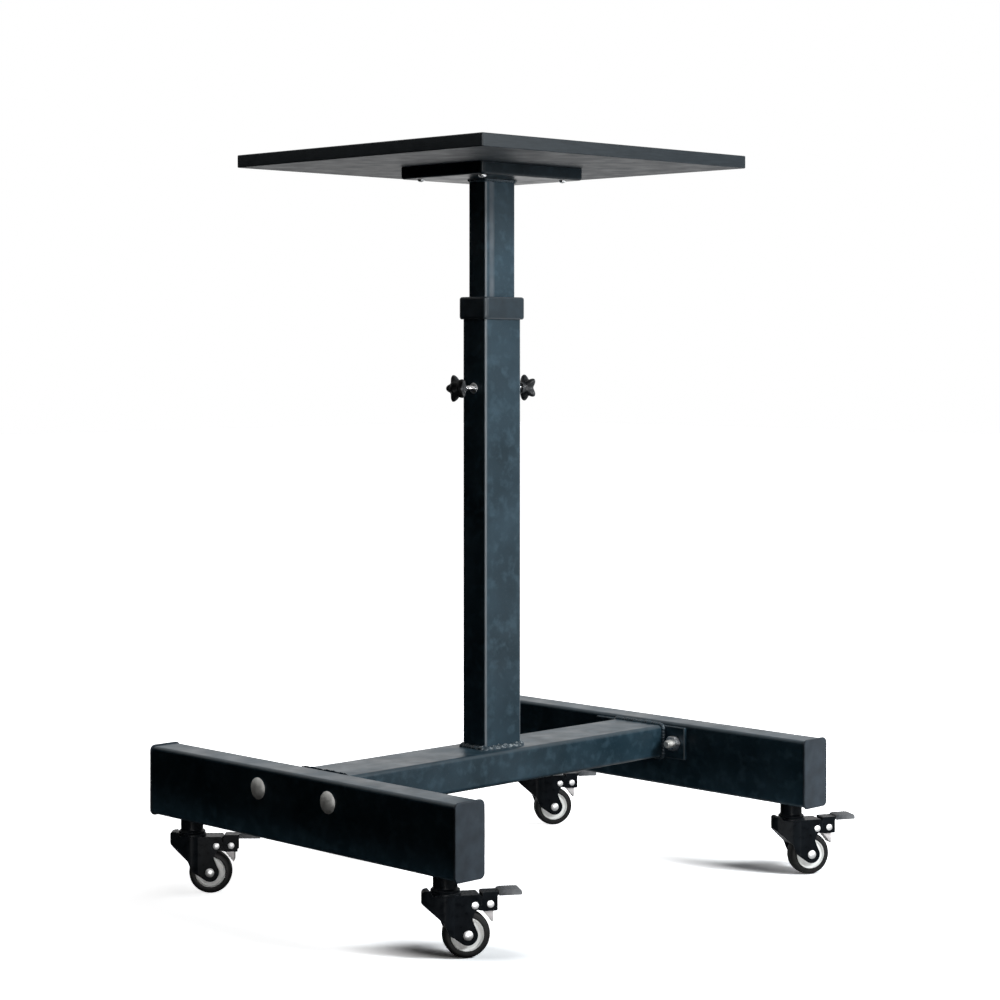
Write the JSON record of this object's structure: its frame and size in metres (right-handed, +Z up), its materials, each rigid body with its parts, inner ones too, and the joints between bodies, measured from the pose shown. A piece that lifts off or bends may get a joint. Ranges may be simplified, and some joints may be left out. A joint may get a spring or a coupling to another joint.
{
  "type": "audio visual cart",
  "caption": "Black steel equipment cart: an H-shaped base on braked swivel casters carries a telescoping column, clamped by star knobs, with a flat square tabletop",
  "frame": {"origin": "on the floor, under the middle of the footprint with the casters turned as they stand", "axes": "X runs along the cross beam from the left leg to the right leg, Y runs along the legs with the front at -Y, +Z is up"},
  "size_m": [0.6766, 0.5366, 0.8666],
  "materials": {
    "black_paint": "satin black powder coat",
    "fork_paint": "satin black enamel",
    "black_plastic": "fine matt black",
    "knob_plastic": "fine matt black",
    "pedal_grey": "satin dark grey",
    "zinc": "bright zinc plate",
    "bright_steel": "polished",
    "brass": "plain turned",
    "tyre": "smooth tread",
    "white_hub": "moulded white",
    "board": "black laminate on both faces and the edges"
  },
  "bodies": {
    "base": {"left_leg": "black_paint", "right_leg": "black_paint", "left_leg_front_cap": "black_plastic", "left_leg_rear_cap": "black_plastic", "right_leg_front_cap": "black_plastic", "right_leg_rear_cap": "black_plastic", "cross_beam": "black_paint", "left_beam_flange": "black_paint", "right_beam_flange": "black_paint", "outer_column": "black_paint", "column_collar": "black_plastic", "left_press_nut": "zinc", "right_press_nut": "zinc", "left_front_leg_bolt": "zinc", "left_front_leg_nut": "zinc", "left_rear_leg_bolt": "zinc", "left_rear_leg_nut": "zinc", "right_front_leg_bolt": "zinc", "right_front_leg_nut": "zinc", "right_rear_leg_bolt": "zinc", "right_rear_leg_nut": "zinc", "left_front_caster_stem": "fork_paint", "left_rear_caster_stem": "fork_paint", "right_front_caster_stem": "fork_paint", "right_rear_caster_stem": "fork_paint"},
    "mast": {"mast": "black_paint", "mast_glide": "black_plastic", "table_bracket": "black_paint", "tabletop": "board", "left_front_table_screw": "zinc", "left_rear_table_screw": "zinc", "right_front_table_screw": "zinc", "right_rear_table_screw": "zinc"},
    "left_tip": {"left_screw_tip": "brass"},
    "left_knob": {"left_clamp_screw": "bright_steel", "left_star_knob": "knob_plastic"},
    "right_tip": {"right_screw_tip": "brass"},
    "right_knob": {"right_clamp_screw": "bright_steel", "right_star_knob": "knob_plastic"},
    "left_front_swivel": {"left_front_caster_fork": "fork_paint", "left_front_caster_axle": "bright_steel"},
    "left_front_wheel": {"left_front_caster_tyre": "tyre", "left_front_caster_hub": "white_hub"},
    "left_front_pedal": {"left_front_brake_pedal": "pedal_grey"},
    "left_rear_swivel": {"left_rear_caster_fork": "fork_paint", "left_rear_caster_axle": "bright_steel"},
    "left_rear_wheel": {"left_rear_caster_tyre": "tyre", "left_rear_caster_hub": "white_hub"},
    "left_rear_pedal": {"left_rear_brake_pedal": "pedal_grey"},
    "right_front_swivel": {"right_front_caster_fork": "fork_paint", "right_front_caster_axle": "bright_steel"},
    "right_front_wheel": {"right_front_caster_tyre": "tyre", "right_front_caster_hub": "white_hub"},
    "right_front_pedal": {"right_front_brake_pedal": "pedal_grey"},
    "right_rear_swivel": {"right_rear_caster_fork": "fork_paint", "right_rear_caster_axle": "bright_steel"},
    "right_rear_wheel": {"right_rear_caster_tyre": "tyre", "right_rear_caster_hub": "white_hub"},
    "right_rear_pedal": {"right_rear_brake_pedal": "pedal_grey"}
  },
  "joints": [
    {"name": "mast_slide", "type": "slide", "parent": "base", "child": "mast", "axis": [0, 0, 1], "range_m": [-0.13, 0.19]},
    {"name": "left_tip_slide", "type": "slide", "parent": "base", "child": "left_tip", "axis": [-1, 0, 0], "range_m": [0, 0.0022]},
    {"name": "left_knob_turn", "type": "hinge", "parent": "left_tip", "child": "left_knob", "pos_m": [-0.05512, 0.00627, 0.5893], "axis": [-1, 0, 0], "range_deg": [0, 720]},
    {"name": "right_tip_slide", "type": "slide", "parent": "base", "child": "right_tip", "axis": [1, 0, 0], "range_m": [0, 0.0022]},
    {"name": "right_knob_turn", "type": "hinge", "parent": "right_tip", "child": "right_knob", "pos_m": [0.00488, 0.00627, 0.5893], "axis": [1, 0, 0], "range_deg": [0, 720]},
    {"name": "left_front_swivel_turn", "type": "hinge", "parent": "base", "child": "left_front_swivel", "pos_m": [-0.31262, -0.21773, 0.07], "axis": [0, 0, 1], "continuous": true},
    {"name": "left_front_wheel_roll", "type": "hinge", "parent": "left_front_swivel", "child": "left_front_wheel", "pos_m": [-0.29397, -0.22939, 0.025], "axis": [0.5299, 0.848, 0], "continuous": true},
    {"name": "left_front_pedal_press", "type": "hinge", "parent": "left_front_swivel", "child": "left_front_pedal", "pos_m": [-0.28761, -0.23336, 0.056], "axis": [0.5299, 0.848, 0], "range_deg": [0, 7]},
    {"name": "left_rear_swivel_turn", "type": "hinge", "parent": "base", "child": "left_rear_swivel", "pos_m": [-0.31262, 0.21427, 0.07], "axis": [0, 0, 1], "continuous": true},
    {"name": "left_rear_wheel_roll", "type": "hinge", "parent": "left_rear_swivel", "child": "left_rear_wheel", "pos_m": [-0.2968, 0.19899, 0.025], "axis": [0.6947, 0.7193, 0], "continuous": true},
    {"name": "left_rear_pedal_press", "type": "hinge", "parent": "left_rear_swivel", "child": "left_rear_pedal", "pos_m": [-0.2914, 0.19378, 0.056], "axis": [0.6947, 0.7193, 0], "range_deg": [0, 7]},
    {"name": "right_front_swivel_turn", "type": "hinge", "parent": "base", "child": "right_front_swivel", "pos_m": [0.26238, -0.21773, 0.07], "axis": [0, 0, 1], "continuous": true},
    {"name": "right_front_wheel_roll", "type": "hinge", "parent": "right_front_swivel", "child": "right_front_wheel", "pos_m": [0.28198, -0.22772, 0.025], "axis": [0.454, 0.891, 0], "continuous": true},
    {"name": "right_front_pedal_press", "type": "hinge", "parent": "right_front_swivel", "child": "right_front_pedal", "pos_m": [0.28866, -0.23112, 0.056], "axis": [0.454, 0.891, 0], "range_deg": [0, 7]},
    {"name": "right_rear_swivel_turn", "type": "hinge", "parent": "base", "child": "right_rear_swivel", "pos_m": [0.26238, 0.21427, 0.07], "axis": [0, 0, 1], "continuous": true},
    {"name": "right_rear_wheel_roll", "type": "hinge", "parent": "right_rear_swivel", "child": "right_rear_wheel", "pos_m": [0.28103, 0.20261, 0.025], "axis": [0.5299, 0.848, 0], "continuous": true},
    {"name": "right_rear_pedal_press", "type": "hinge", "parent": "right_rear_swivel", "child": "right_rear_pedal", "pos_m": [0.28739, 0.19864, 0.056], "axis": [0.5299, 0.848, 0], "range_deg": [0, 7]}
  ],
  "couplings": [
    {"joint": "left_tip_slide", "follows": "left_knob_turn", "m_per_rad": 0.00015915},
    {"joint": "right_tip_slide", "follows": "right_knob_turn", "m_per_rad": 0.00015915}
  ]
}
